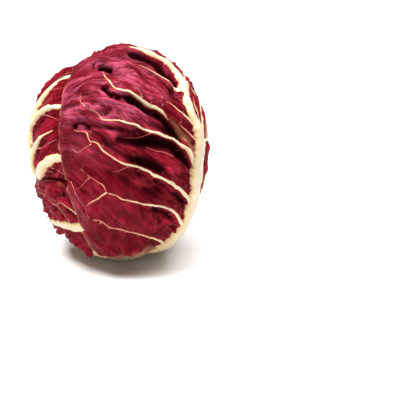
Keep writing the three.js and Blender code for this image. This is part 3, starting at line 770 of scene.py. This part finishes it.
def bladeSurface(leaf, index):
    share, side = makeGrid(leaf)
    shape = share.shape
    seed = index * 11 + 1
    ruffle = leaf.get("ruffle")
    rimWave = wavyRim(share, side, seed)
    sideHere = side * (1 + rimWave * np.abs(side) ** 4)
    shareHere = share - np.abs(wavyRim(side * 0.6, share, seed + 2)) * share**8
    towardsRim = phase = None
    if ruffle:
        towardsRim = smoothStep(np.abs(side), ruffle["inset"], 1) * smoothStep(share, 0.05, 0.2)
        drift = softNoise(np.stack([share * 5, side * 1.5, np.full(shape, seed * 2.1)], axis=-1), seed)
        phase = 2 * np.pi * ruffle["waves"] * share + 3 * side + 2.2 * drift
        sideHere = sideHere * (1 + ruffle["scallop"] * (np.abs(np.sin(phase / 2)) - 0.6) * towardsRim**3)
    spots = leafPlace(leaf, shareHere.ravel(), sideHere.ravel())
    depths = layersAt(spots)
    openness = 1 - coverAt(index, depths, head["coverFade"])
    radius = seatRadius(index, spots, depths)

    across = side * halfWidth(leaf, share, side)
    along = share * leaf["midribRun"].length - grainSlope * np.abs(across)
    grain = np.stack([across.ravel(), along.ravel(), np.full(len(spots), seed * 9.0)], axis=-1)
    ribs, groove, bleed = ribRelief(leaf, spots, openness)
    texture = bladeTexture(leaf, spots, grain, seed) * (1 - 0.7 * np.clip(bleed * 1.2, 0, 1)) * openness
    rimGap = nearest(spots, leaf["rimPoints"])[0]
    texture = texture * (0.3 + 0.7 * smoothStep(rimGap, 0, 5))

    relief = ribs + texture - leaf.get("grooveUnderRibs", 0.6) * groove
    proud = pressed(spots, swells) * (index == len(leaves) - 1)
    relief = relief + proud
    if ruffle:
        lobes = np.abs(np.sin(phase / 2)) ** 0.8 + 0.3 * np.abs(np.sin(1.5 * phase + 1))
        wave = ruffle["height"] * (towardsRim * lobes).ravel() * (0.3 + 0.7 * smoothStep(rimGap, 0, 4))
        relief = relief + wave * openness
    hug = hugRim["depth"] * np.exp(-((rimGap / hugRim["reach"]) ** 2)) * smoothStep(share.ravel(), 0.1, 0.3)
    outer = radius + head["bladeThickness"] + relief - hug
    thickness = head["bladeThickness"] * (0.35 + 0.65 * smoothStep(rimGap, 0, 2.5))
    # painted shade: darker colour in narrow folds and in the listed shaded areas, where shade falls
    gloom = pressed(spots, folds, "gloom") / 4.2 + areaMask(leaf, "shaded", spots)
    masks = {
        "ribBleed": bleed,
        # hollow paints shade into the colour in folds, under side ribs and in wrinkle troughs; it also roughens the
        # surface
        "hollow": np.clip(0.85 * gloom + 0.5 * groove - (0.35 if ruffle else 0.14) * texture - 0.12, 0, 1),
        # painted highlight: raised crests of the relief get a brighter red, as if lit
        "raised": np.clip(0.5 + 0.4 * texture + 0.15 * proud, 0, 1),
        "rimPale": (1 - smoothStep(rimGap, 0.3, 1.2)) * (0.3 if ruffle else 1),
        "baseFade": 1 - smoothStep(share.ravel() + 0.05 * softNoise(grain / 6, seed), 0.03, 0.17),
        "tan": midribFootShadeStrip(leaf, spots),
        "calm": calmness(leaf, spots),
        # painted highlight: where the pale mauve sheen is painted, a little everywhere and more in the listed areas
        "paintedSheen": np.clip(0.05 + areaMask(leaf, "paintedSheen", spots), 0, 1),
    }
    inner = outer - thickness
    return {"spots": spots, "outer": outer, "inner": inner, "shape": shape, "grain": grain, "masks": masks}


def gridFaces(rows, columns, start=0):
    r = np.arange(rows - 1)[:, None] * columns
    a = start + r + np.arange(columns - 1)[None]
    return np.stack([a, a + 1, a + columns + 1, a + columns], axis=-1).reshape(-1, 4)


def rimLoop(rows, columns, start=0):
    # the outermost vertices of a grid in order, without the first again at the end
    count = rows * columns
    return start + np.concatenate([
        np.arange(columns - 1),
        np.arange(rows - 1) * columns + columns - 1,
        np.arange(count - 1, count - columns, -1),
        np.arange(rows - 1, 0, -1) * columns,
    ])


def closedSheet(outerPoints, innerPoints, rows, columns, coarse=1):
    # a thin solid: a fine outer sheet and an inner one that keeps every so many rows and columns
    count = rows * columns
    kept = np.arange(count).reshape(rows, columns)[::coarse, ::coarse]
    faces = gridFaces(rows, columns).tolist()
    faces += gridFaces(*kept.shape, count)[:, ::-1].tolist()
    fineLoop = rimLoop(rows, columns)
    coarseLoop = rimLoop(*kept.shape, count)
    for k, low in enumerate(coarseLoop):
        run = [int(fineLoop[(k * coarse + i) % len(fineLoop)]) for i in range(coarse + 1)]
        faces.append(run[::-1] + [int(low), int(coarseLoop[(k + 1) % len(coarseLoop)])])
    return np.vstack([outerPoints, innerPoints[kept.ravel()]]), faces, kept.ravel()


def addObject(name, data):
    piece = bpy.data.objects.new(name, data)
    bpy.context.scene.collection.objects.link(piece)
    return piece


def meshObject(name, points, faces, masks=None, grain=None):
    mesh = bpy.data.meshes.new(name)
    mesh.from_pydata((points * millimetre).tolist(), [], faces)
    for key, values in (masks or {}).items():
        mesh.attributes.new(key, "FLOAT", "POINT").data.foreach_set("value", values.astype(np.float32))
    if grain is not None:
        values = mesh.attributes.new("grain", "FLOAT_VECTOR", "POINT").data
        values.foreach_set("vector", grain.astype(np.float32).ravel())
    mesh.shade_smooth()
    mesh.update()
    return addObject(name, mesh)


def atRadius(spots, radius):
    return centre + spots * radius[:, None]


def makeBlade(leaf, index):
    surface = bladeSurface(leaf, index)
    rows, columns = surface["shape"]
    outer = atRadius(surface["spots"], surface["outer"])
    inner = atRadius(surface["spots"], surface["inner"])
    points, faces, kept = closedSheet(outer, inner, rows, columns, innerStep)
    masks = {key: np.concatenate([values, values[kept]]) for key, values in surface["masks"].items()}
    grain = np.vstack([surface["grain"], surface["grain"][kept]])
    piece = meshObject(leaf["name"] + "_blade", points, faces, masks, grain)
    leaf["tree"] = BVHTree.FromPolygons(outer.tolist(), gridFaces(rows, columns).tolist())
    return piece


# Rib nets

def seatOn(tree, spots):
    # radius of the blade's outer face in each direction, nan beside the blade
    origin = Vector(centre)
    found = np.full(len(spots), np.nan)
    for i, spot in enumerate(spots):
        start = origin + Vector(spot) * 90
        hit = tree.ray_cast(start, -Vector(spot))[0]
        if hit is not None:
            found[i] = (hit - origin).length
    return found


ribForm = {
    "heights": {"midrib": 0.17, "side": 0.3, "twig": 0.3, "hair": 0.3},  # of the width
    "lanes": {"midrib": 14, "side": 8, "twig": 4, "hair": 2},
    "smoothRun": {"midrib": 6, "side": 2, "twig": 1, "hair": 1},  # rows over which a rib evens out its blade
    "tallest": 1.8,
    "covered": 0.35,
    "edgeSunk": 0.12,
    "root": 0.5,  # how deep the rib reaches into its blade
}


def makeRib(leaf, index, strand):
    # one closed strip, or nothing where it would be too short
    lanes = ribForm["lanes"][strand["kind"]]
    keep = np.arange(0, len(strand["points"]), 1 if strand["kind"] == "twig" else 2)
    middle, width, share = strand["points"][keep], strand["width"][keep], strand["share"][keep]
    q = np.linspace(-1, 1, lanes + 1)
    ahead = unit(np.gradient(middle, axis=0))
    sideways = np.cross(ahead, middle)
    out = q[None, :, None] * width[:, None, None] / 2 / headRadius
    spots = unit(middle[:, None] + sideways[:, None] * out)
    seat = seatOn(leaf["tree"], spots.reshape(-1, 3)).reshape(len(keep), lanes + 1)
    whole = np.append(~np.isnan(seat).any(axis=1), False)
    first = int(np.argmax(whole))
    count = int(np.argmin(whole[first:]))
    if count < 4:
        return None
    rows = slice(first, first + count)
    spots, seat, width, share = spots[rows], seat[rows], width[rows], share[rows]
    openness = 1 - coverAt(index, layersAt(middle[rows]), head["coverFade"])
    rise = np.minimum(ribForm["heights"][strand["kind"]] * width * leaf.get("proudRibs", 1), ribForm["tallest"])
    rise = rise * openness + ribForm["covered"] * np.minimum(rise, 1) * (1 - openness)
    rise = rise * np.minimum(1, np.arange(count, 0, -1) / 6)
    if strand["kind"] != "midrib":
        rise = rise * (0.3 + 0.7 * smoothStep(strand["along"][keep][rows], 1, 9))
    profile = np.sqrt(np.clip(1 - np.abs(q) ** 2.2, 0, 1))
    run = ribForm["smoothRun"][strand["kind"]]
    window = 2 * run + 1
    level = np.convolve(np.pad(seat.mean(axis=1), run, mode="edge"), np.ones(window) / window, mode="valid")
    middleShare = (1 - np.abs(q) ** 3)[None]
    seat = np.maximum(seat * (1 - middleShare) + level[:, None] * middleShare, seat - 0.1)
    furrow = 1 + 0.12 * softNoise(np.stack([
        np.repeat(share[:, None] * 30, lanes + 1, axis=1),
        np.repeat(q[None] * (2 + width.mean() / 3), count, axis=0),
        np.full((count, lanes + 1), strand["seed"] * 1.9),
    ], axis=-1), strand["seed"])
    top = seat + rise[:, None] * profile[None] * furrow - ribForm["edgeSunk"] * (1 - profile[None])
    flat = spots.reshape(-1, 3)
    bottom = seat - ribForm["root"]
    points, faces, _ = closedSheet(atRadius(flat, top.ravel()), atRadius(flat, bottom.ravel()), count, lanes + 1)
    return {
        "points": points,
        "faces": faces,
        "across": np.tile(np.tile(q, count), 2),
        "along": np.tile(np.repeat(strand["along"][keep][rows], lanes + 1), 2),
        "thinness": np.tile(np.repeat(1 - smoothStep(width, 0.35, 1.9), lanes + 1), 2),
    }


def makeRibs(leaf, index):
    ribs = [rib for rib in (makeRib(leaf, index, strand) for strand in leaf["strands"]) if rib]
    faces = []
    start = 0
    for rib in ribs:
        faces += [[start + i for i in face] for face in rib["faces"]]
        start += len(rib["points"])
    across, along, thinness = (np.concatenate([rib[key] for rib in ribs]) for key in ("across", "along", "thinness"))
    grain = np.stack([across, along, np.full(start, index * 5.0)], axis=-1)
    points = np.vstack([rib["points"] for rib in ribs])
    return meshObject(leaf["name"] + "_rib_net", points, faces, {"thinness": thinness}, grain)


# Materials

def newMaterial(name):
    material = bpy.data.materials.new(name)
    material.use_nodes = True
    nodes = material.node_tree.nodes
    return material, nodes, material.node_tree.links, nodes["Principled BSDF"]


def addMath(tree, operation, first, second=None, clamp=False):
    node = tree.nodes.new("ShaderNodeMath")
    node.operation = operation
    node.use_clamp = clamp
    for socket, value in zip(node.inputs, (first, second)):
        if isinstance(value, (int, float)):
            socket.default_value = value
        elif value is not None:
            tree.links.new(value, socket)
    return node.outputs[0]


def addMix(tree, factor, first, second, blend="MIX"):
    node = tree.nodes.new("ShaderNodeMix")
    node.data_type = "RGBA"
    node.blend_type = blend
    for socket, value in ((node.inputs[0], factor), (node.inputs[6], first), (node.inputs[7], second)):
        if isinstance(value, (int, float)):
            socket.default_value = value
        elif isinstance(value, tuple):
            socket.default_value = (*value, 1)
        else:
            tree.links.new(value, socket)
    return node.outputs[2]


def addRange(tree, value, low, high, toLow=0.0, toHigh=1.0):
    node = tree.nodes.new("ShaderNodeMapRange")
    node.interpolation_type = "SMOOTHSTEP"
    tree.links.new(value, node.inputs["Value"])
    for key, number in (("From Min", low), ("From Max", high), ("To Min", toLow), ("To Max", toHigh)):
        node.inputs[key].default_value = number
    return node.outputs["Result"]


def addStretch(tree, vector, scale):
    node = tree.nodes.new("ShaderNodeVectorMath")
    node.operation = "MULTIPLY"
    tree.links.new(vector, node.inputs[0])
    node.inputs[1].default_value = scale
    return node.outputs[0]


def addNoise(tree, vector, scale, detailLevel=3.0, roughness=0.55, distortion=0.0):
    node = tree.nodes.new("ShaderNodeTexNoise")
    tree.links.new(vector, node.inputs["Vector"])
    node.inputs["Scale"].default_value = scale
    node.inputs["Detail"].default_value = detailLevel
    node.inputs["Roughness"].default_value = roughness
    node.inputs["Distortion"].default_value = distortion
    return node.outputs["Fac"]


def attribute(tree, name, output="Fac"):
    node = tree.nodes.new("ShaderNodeAttribute")
    node.attribute_name = name
    return node.outputs[output]


def addBump(tree, surface, height, strength, distance):
    bump = tree.nodes.new("ShaderNodeBump")
    bump.inputs["Strength"].default_value = strength
    bump.inputs["Distance"].default_value = distance
    tree.links.new(height, bump.inputs["Height"])
    tree.links.new(bump.outputs["Normal"], surface.inputs["Normal"])


def makeLeafGrain():
    # streaks along the veins, soft mottling and a fine net of veins
    group = bpy.data.node_groups.new("leafGrain", "ShaderNodeTree")
    group.interface.new_socket("Grain", in_out="INPUT", socket_type="NodeSocketVector")
    for name in ("Streak", "Mottle", "Net", "Fine", "Crease"):
        group.interface.new_socket(name, in_out="OUTPUT", socket_type="NodeSocketFloat")
    entry = group.nodes.new("NodeGroupInput")
    end = group.nodes.new("NodeGroupOutput")
    grain = entry.outputs["Grain"]
    streak = addNoise(group, addStretch(group, grain, (0.09, 0.5, 1)), 1.0, 3, 0.55, 0.6)
    mottle = addNoise(group, addStretch(group, grain, (0.12, 0.12, 1)), 1.0, 3, 0.55, 0.3)
    voronoi = group.nodes.new("ShaderNodeTexVoronoi")
    voronoi.feature = "DISTANCE_TO_EDGE"
    group.links.new(addStretch(group, grain, (0.16, 0.34, 1)), voronoi.inputs["Vector"])
    voronoi.inputs["Scale"].default_value = 1.0
    net = addRange(group, voronoi.outputs["Distance"], 0.0, 0.09, 1.0, 0.0)
    fine = addNoise(group, addStretch(group, grain, (0.8, 1.6, 1)), 1.0, 4, 0.6)
    crease = addNoise(group, addStretch(group, grain, (0.055, 0.19, 1)), 1.0, 2, 0.5, 0.9)
    for name, value in (("Streak", streak), ("Mottle", mottle), ("Net", net), ("Fine", fine), ("Crease", crease)):
        group.links.new(value, end.inputs[name])
    return group


leafGrain = makeLeafGrain()


def makeBladeMaterial(name, colours, roughness):
    material, nodes, links, surface = newMaterial(name)
    tree = material.node_tree
    grain = nodes.new("ShaderNodeGroup")
    grain.node_tree = leafGrain
    links.new(attribute(tree, "grain", "Vector"), grain.inputs["Grain"])

    def multiply(first, second):
        return addMath(tree, "MULTIPLY", first, second)

    calm = attribute(tree, "calm")
    wrinkle = addMath(tree, "ABSOLUTE", addMath(tree, "SUBTRACT", grain.outputs["Crease"], 0.5))
    streak = addRange(tree, grain.outputs["Streak"], 0.34, 0.66)
    streak = addMix(tree, multiply(calm, 0.6), streak, (0.5, 0.5, 0.5))
    colour = addMix(tree, streak, colours["deep"], colours["wine"])
    # painted highlight: raised places mixed towards a brighter red; the fine vein net below takes the same red as its
    # own colour
    raised = addRange(tree, attribute(tree, "raised"), 0.45, 1.0)
    colour = addMix(tree, multiply(raised, 0.55), colour, colours["crestHighlightAndVeinNet"])
    mottle = addRange(tree, grain.outputs["Mottle"], 0.38, 0.6, 0.15, 1.0)
    # painted highlight: the mauve sheen, broken up by the mottling
    paintedSheenAmount = multiply(mottle, attribute(tree, "paintedSheen"))
    colour = addMix(tree, multiply(paintedSheenAmount, 0.85), colour, colours["paintedSheen"])
    colour = addMix(tree, multiply(grain.outputs["Net"], 0.2), colour, colours["crestHighlightAndVeinNet"])
    colour = addMix(tree, addRange(tree, grain.outputs["Mottle"], 0.40, 0.62, 0.55, 0.0), colour, colours["deep"])
    # painted shade: thin dark lines painted along the wrinkle creases, weaker in calm areas
    line = multiply(addRange(tree, wrinkle, 0.0, 0.02, 0.7, 0.0), addRange(tree, calm, 0.2, 0.9, 1.0, 0.35))
    colour = addMix(tree, line, colour, colours["shade"])
    # painted shade: the blade darkened towards near-black in folds, grooves and troughs
    colour = addMix(tree, addRange(tree, attribute(tree, "hollow"), 0.08, 0.6), colour, colours["shade"])
    ragged = multiply(addMath(tree, "SUBTRACT", grain.outputs["Fine"], 0.5), 0.5)
    bleed = addMath(tree, "ADD", attribute(tree, "ribBleed"), ragged)
    colour = addMix(tree, addRange(tree, bleed, 0.0, 0.8, 0.0, 0.6), colour, colours["blush"])
    colour = addMix(tree, addRange(tree, bleed, 0.88, 1.0), colour, colours["cream"])
    colour = addMix(tree, multiply(attribute(tree, "baseFade"), 0.75), colour, colours["cream"])
    # painted shade: the midrib foot's shaded strip mixed towards brown
    colour = addMix(tree, multiply(attribute(tree, "tan"), 0.8), colour, colours["tan"])
    rim = multiply(attribute(tree, "rimPale"), addRange(tree, grain.outputs["Mottle"], 0.3, 0.6, 0.25, 0.85))
    colour = addMix(tree, rim, colour, colours["rim"])
    links.new(colour, surface.inputs["Base Color"])
    rough = addRange(tree, grain.outputs["Fine"], 0.25, 0.75, roughness - 0.08, roughness + 0.12)
    links.new(addMath(tree, "ADD", rough, attribute(tree, "hollow"), True), surface.inputs["Roughness"])
    surface.inputs["IOR"].default_value = 1.15
    surface.inputs["Specular Tint"].default_value = (1, 0.42, 0.6, 1)
    height = addMath(tree, "ADD", multiply(grain.outputs["Streak"], 0.25), multiply(grain.outputs["Fine"], 0.12))
    height = addMath(tree, "ADD", height, multiply(wrinkle, 2.2))
    height = addMath(tree, "ADD", height, multiply(grain.outputs["Net"], 0.12))
    height = multiply(height, addRange(tree, calm, 0.1, 0.9, 1.0, 0.3))
    addBump(tree, surface, height, 0.9, 0.002)
    return material


def makeRibMaterial():
    material, nodes, links, surface = newMaterial("creamRib")
    tree = material.node_tree
    grain = attribute(tree, "grain", "Vector")
    split = nodes.new("ShaderNodeSeparateXYZ")
    links.new(grain, split.inputs[0])
    offAxis = addMath(tree, "ABSOLUTE", split.outputs["X"])
    fibres = addNoise(tree, addStretch(tree, grain, (7, 0.12, 1)), 1.0, 3, 0.6)
    ragged = addNoise(tree, addStretch(tree, grain, (1.2, 0.75, 1)), 1.0, 4, 0.65)
    cream = addMix(tree, addRange(tree, fibres, 0.35, 0.7), (0.60, 0.49, 0.33), (0.70, 0.61, 0.46))
    thin = attribute(tree, "thinness")
    cream = addMix(tree, addRange(tree, thin, 0.2, 0.75), cream, (0.66, 0.36, 0.19))
    cream = addMix(tree, addRange(tree, thin, 0.75, 1.0), cream, (0.42, 0.07, 0.07))
    edge = addMath(tree, "ADD", offAxis, addMath(tree, "MULTIPLY", addMath(tree, "SUBTRACT", ragged, 0.5), 0.9))
    colour = addMix(tree, addRange(tree, edge, 0.45, 0.85, 0.0, 0.8), cream, (0.70, 0.50, 0.20))
    colour = addMix(tree, addRange(tree, edge, 0.82, 1.12), colour, (0.36, 0.05, 0.07))
    links.new(colour, surface.inputs["Base Color"])
    surface.inputs["Roughness"].default_value = 0.42
    surface.inputs["Subsurface Weight"].default_value = 0.12
    surface.inputs["Subsurface Radius"].default_value = (1.0, 0.7, 0.4)
    surface.inputs["Subsurface Scale"].default_value = 0.0015
    addBump(tree, surface, fibres, 0.35, 0.0004)
    return material


wineColours = {
    "deep": (0.075, 0.0009, 0.0028),
    "wine": (0.21, 0.0026, 0.009),
    "paintedSheen": (0.45, 0.085, 0.15),
    "crestHighlightAndVeinNet": (0.48, 0.012, 0.04),
    "shade": (0.014, 0.0003, 0.0008),
    "blush": (0.26, 0.007, 0.025),
    "cream": (0.66, 0.52, 0.32),
    "tan": (0.42, 0.19, 0.09),
    "rim": (0.45, 0.14, 0.08),
}
innerColours = {**wineColours, "deep": (0.16, 0.006, 0.03), "wine": (0.3, 0.02, 0.07)}
wineBlade = makeBladeMaterial("wineBlade", wineColours, 0.4)
paleBlade = makeBladeMaterial("paleBlade", innerColours, 0.45)
creamRib = makeRibMaterial()


# Stem and heart

stemForm = {"radius": 13, "foot": 15.5, "height": 46, "tip": 0.3, "around": 96, "rings": 73}
heartForm = {"rings": 90, "around": 180, "sunk": 1.3, "leafStep": 1.4}


def tubeFaces(rings, around, flipped=False):
    # the side of a closed tube and its two ends
    steps = np.arange(around)
    rows = np.arange(rings - 1)[:, None] * around
    a, b = (rows + steps[None]).ravel(), (rows + (steps + 1)[None] % around).ravel()
    sides = np.stack([a, b, b + around, a + around], axis=-1)
    last = (rings - 1) * around
    ends = [list(range(around - 1, -1, -1)), list(range(last, last + around))]
    if flipped:
        return sides[:, [0, 3, 2, 1]].tolist() + [end[::-1] for end in ends]
    return sides.tolist() + ends


def makeStem():
    foot, radius, height, tip = (stemForm[key] for key in ("foot", "radius", "height", "tip"))
    profile = [
        [tip, 0], [6, 0], [11, 0], [foot - 1.2, 0], [foot - 0.4, 0.3], [foot, 1.2], [foot, 4], [foot - 0.2, 7],
        [radius + 0.9, 11], [radius, 14], [radius * 0.92, height * 0.7], [radius * 0.6, height * 0.93], [tip, height],
    ]
    dense = np.linspace(0, len(profile) - 1, stemForm["rings"])
    reach, level = (np.interp(dense, np.arange(len(profile)), column) for column in np.array(profile).T)
    turn = np.linspace(0, 2 * np.pi, stemForm["around"], endpoint=False)
    ring = np.stack([np.cos(turn), np.sin(turn)], axis=-1)
    rough = softNoise(np.stack([
        np.repeat(np.cos(turn)[None] * 3, len(dense), axis=0),
        np.repeat(np.sin(turn)[None] * 3, len(dense), axis=0),
        np.repeat(level[:, None] / 5, len(turn), axis=1),
    ], axis=-1), 77)
    wide = reach[:, None] + np.minimum(reach[:, None], 1) * (rough * 0.5 - 0.35) * smoothStep(level, 0.5, 3)[:, None]
    points = np.concatenate([ring[None] * wide[..., None], np.repeat(level[:, None, None], len(turn), axis=1)], axis=-1)
    return meshObject("cut_stem", points.reshape(-1, 3), tubeFaces(len(dense), len(turn)))


def makeHeart():
    rings, around = heartForm["rings"], heartForm["around"]
    polar = np.linspace(3, 168, rings)
    azimuth = np.arange(around) * 360 / around
    grid = np.stack(np.meshgrid(polar, azimuth, indexing="ij"), axis=-1).reshape(-1, 2)
    spots = directionTo(grid[:, ::-1])
    depths = layersAt(spots)
    turn = (grid[:, 1] / 120 + grid[:, 0] / 150 + 0.05 * softNoise(spots * 5, 3)) % 1
    radius = innerRadius(spots, depths) - heartForm["sunk"] - heartForm["leafStep"] * turn
    grain = np.stack([grid[:, 1] * 0.9, grid[:, 0], np.zeros(len(grid))], axis=-1)
    return meshObject("tight_heart", atRadius(spots, radius), tubeFaces(rings, around, True), None, grain)


def makeStemMaterial():
    material, nodes, links, surface = newMaterial("cutStem")
    tree = material.node_tree
    place = nodes.new("ShaderNodeTexCoord").outputs["Object"]
    blotch = addNoise(tree, addStretch(tree, place, (180, 180, 180)), 1.0, 4, 0.6)
    streaks = addNoise(tree, addStretch(tree, place, (500, 500, 60)), 1.0, 3, 0.6)
    split = nodes.new("ShaderNodeSeparateXYZ")
    links.new(place, split.inputs[0])
    colour = addMix(tree, addRange(tree, streaks, 0.35, 0.7), (0.62, 0.50, 0.30), (0.80, 0.71, 0.53))
    cut = addRange(tree, split.outputs["Z"], 0.0001, 0.0012, 1.0, 0.0)
    browned = addMath(tree, "MULTIPLY", cut, addRange(tree, blotch, 0.35, 0.62, 0.35, 1.0))
    colour = addMix(tree, browned, colour, (0.34, 0.17, 0.07))
    links.new(colour, surface.inputs["Base Color"])
    surface.inputs["Roughness"].default_value = 0.6
    addBump(tree, surface, blotch, 0.5, 0.0008)
    return material


def dress(piece, material, node):
    piece.data.materials.clear()
    piece.data.materials.append(material)
    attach(piece, "root")
    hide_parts(node)


dress(makeStem(), makeStemMaterial(), "stem")
dress(makeHeart(), paleBlade, "heart")
print("stem and heart made")

for index, leaf in enumerate(leaves):
    leaf["strands"] = strandsOf(leaf, index)
    blade = makeBlade(leaf, index)
    dress(blade, wineBlade if leaf["slot"] == "wrapper_blade" else paleBlade, leaf["name"])
    if leaf["ribs"]:
        dress(makeRibs(leaf, index), creamRib, leaf["name"] + "_ribs")
    print("made", leaf["name"], len(blade.data.polygons), "faces")


# Floor, light and camera

studio = {
    "floorColour": (0.82, 0.815, 0.81),
    "worldStrength": 0.18,
    "key": {"place": (-0.4, -0.26, 1.05), "size": 0.3, "watts": 19},
    "top": {"place": (0.38, 0.05, 1.2), "size": 0.8, "watts": 22},
    "fill": {"place": (0.7, -0.9, 0.6), "size": 0.8, "watts": 1},
}


def makeFloor():
    mesh = bpy.data.meshes.new("floor")
    half = 4.0
    mesh.from_pydata([(-half, -half, 0), (half, -half, 0), (half, half, 0), (-half, half, 0)], [], [(0, 1, 2, 3)])
    floor = addObject("floor", mesh)
    material, nodes, links, surface = newMaterial("paleFloor")
    surface.inputs["Base Color"].default_value = (*studio["floorColour"], 1)
    surface.inputs["Roughness"].default_value = 0.7
    mesh.materials.append(material)


def addAreaLight(name, form):
    lamp = bpy.data.lights.new(name, "AREA")
    lamp.size = form["size"]
    lamp.energy = form["watts"]
    holder = addObject(name, lamp)
    holder.location = form["place"]
    holder.rotation_euler = (Vector((0, 0, 0.07)) - Vector(form["place"])).to_track_quat("-Z", "Y").to_euler()


makeFloor()
for name in ("key", "top", "fill"):
    addAreaLight(name + "Light", studio[name])
bpy.context.scene.view_settings.view_transform = "Standard"
world = bpy.data.worlds.new("studio")
world.use_nodes = True
world.node_tree.nodes["Background"].inputs["Color"].default_value = (1, 0.95, 0.91, 1)
world.node_tree.nodes["Background"].inputs["Strength"].default_value = studio["worldStrength"]
bpy.context.scene.world = world

# The head is seen at the upper left of the frame, as 180 of its 416 pixels across
view = {"lens": 100, "sensor": 36, "framePixels": 416, "headPixels": 180, "headAt": (120, 142), "elevation": 22}


def makeCamera():
    tilt = math.radians(view["elevation"])
    forward = np.array([0, math.cos(tilt), -math.sin(tilt)])
    up = np.array([0, math.sin(tilt), math.cos(tilt)])
    perPixel = view["sensor"] / view["lens"] / view["framePixels"]
    distance = head["width"] / view["headPixels"] / perPixel
    middle = view["framePixels"] / 2
    right = (view["headAt"][0] - middle) * perPixel
    above = (middle - view["headAt"][1]) * perPixel
    place = centre - distance * (forward + right * np.array([1, 0, 0]) + above * up)
    camera = addObject("camera", bpy.data.cameras.new("camera"))
    camera.data.lens = view["lens"]
    camera.data.sensor_width = view["sensor"]
    camera.data.clip_end = 20
    camera.location = place * millimetre
    camera.rotation_euler = (math.radians(90) - tilt, 0, 0)
    bpy.context.scene.camera = camera


makeCamera()
print("stage set")
